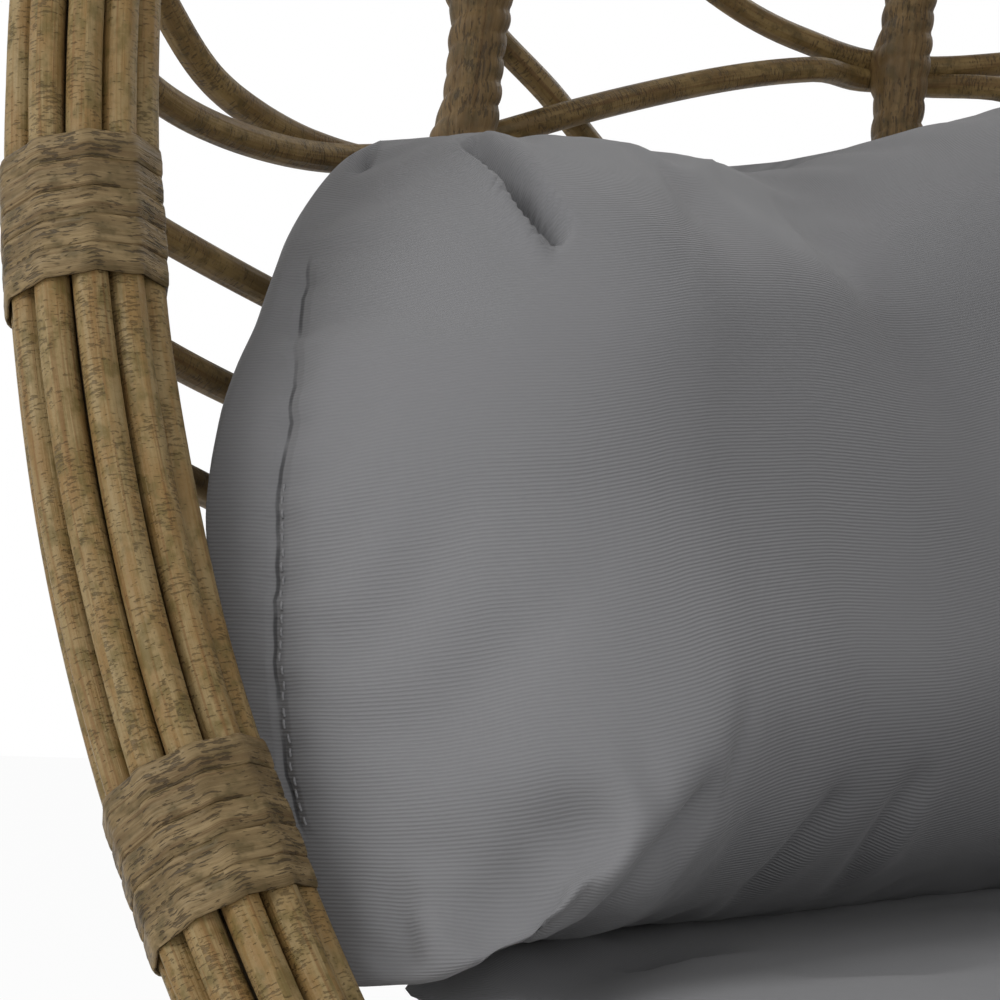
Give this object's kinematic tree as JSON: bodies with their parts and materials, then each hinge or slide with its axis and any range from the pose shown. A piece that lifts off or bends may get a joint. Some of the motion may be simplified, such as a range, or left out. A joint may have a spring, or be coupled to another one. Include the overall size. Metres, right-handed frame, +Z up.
{
  "type": "hanging egg chair",
  "caption": "Egg-shaped woven cane basket with grey seat and back cushions, hung by a swivel, spring and carabiner from a free-standing C-shaped steel stand.",
  "frame": {"origin": "on the floor under the middle of the chair", "axes": "+Z up, the sitter looks along -Y, +X to the sitter's left"},
  "size_m": [1.0778, 1.158, 1.9873],
  "materials": {
    "basket_steel": "matte",
    "cane": "matte",
    "binding_strip": "matte",
    "back_fabric": "matte",
    "seat_fabric": "matte",
    "stand_paint": "satin",
    "plug_plastic": "matte",
    "foot_rubber": "matte",
    "spring_steel": "satin",
    "zinc_steel": "satin"
  },
  "bodies": {
    "stand": {"pole_upper": "stand_paint", "pole_lower": "stand_paint", "pole_sleeve": "zinc_steel", "pole_bolts": "zinc_steel", "pole_end_plug": "plug_plastic", "pole_socket": "stand_paint", "socket_bolt": "zinc_steel", "base_ring": "stand_paint", "base_spine": "stand_paint", "base_cross_tubes": "stand_paint", "base_bolts": "zinc_steel", "base_feet": "foot_rubber", "eye_bolt": "zinc_steel", "eye_bolt_nut": "zinc_steel", "eye_bolt_washers": "stand_paint"},
    "carabiner": {"carabiner_frame": "zinc_steel", "carabiner_gate_pin": "zinc_steel"},
    "gate": {"carabiner_gate": "zinc_steel"},
    "spring_head": {"spring_upper_plug": "zinc_steel", "spring": "spring_steel"},
    "spring_tail": {"spring_lower_plug": "zinc_steel", "swivel_spindle": "zinc_steel", "spindle_nut": "zinc_steel"},
    "basket": {"rim_tube": "basket_steel", "rim_canes": "cane", "rim_bindings": "binding_strip", "crown_hoop": "basket_steel", "foot_hoop": "basket_steel", "upright_1": "basket_steel", "upright_2": "basket_steel", "upright_3": "basket_steel", "upright_4": "basket_steel", "upright_5": "basket_steel", "upright_6": "basket_steel", "upright_7": "basket_steel", "upright_wrapping": "binding_strip", "weave_bay_1": "cane", "weave_bay_2": "cane", "weave_bay_3": "cane", "weave_bay_4": "cane", "weave_bay_5": "cane", "weave_bay_6": "cane", "weave_bay_7": "cane", "weave_bay_8": "cane", "back_cushion": "back_fabric", "seat_cushion": "seat_fabric", "hanging_lug": "stand_paint", "shackle_bow": "zinc_steel", "shackle_pin": "zinc_steel", "shackle_nut": "zinc_steel", "swivel_barrel": "zinc_steel"}
  },
  "joints": [
    {"name": "swing_fore_aft", "type": "hinge", "parent": "stand", "child": "carabiner", "pos_m": [0, -0.038, 1.85505], "axis": [1, 0, 0], "range_deg": [-8, 8]},
    {"name": "gate_opening", "type": "hinge", "parent": "carabiner", "child": "gate", "pos_m": [0, -0.025, 1.81435], "axis": [1, 0, 0], "range_deg": [0, 18], "stiffness_Nm_per_rad": 0.4, "springref_deg": -5.73},
    {"name": "swing_sideways", "type": "hinge", "parent": "carabiner", "child": "spring_head", "pos_m": [0, -0.038, 1.79435], "axis": [0, 1, 0], "range_deg": [-8, 8]},
    {"name": "spring_stretch", "type": "slide", "parent": "spring_head", "child": "spring_tail", "axis": [0, 0, -1], "range_m": [0, 0.03], "stiffness_N_per_m": 25000, "springref_m": -0.02, "deforming": ["spring"]},
    {"name": "basket_swivel", "type": "hinge", "parent": "spring_tail", "child": "basket", "pos_m": [0, -0.038, 1.63475], "axis": [0, 0, 1], "range_deg": [-60, 60]}
  ]
}
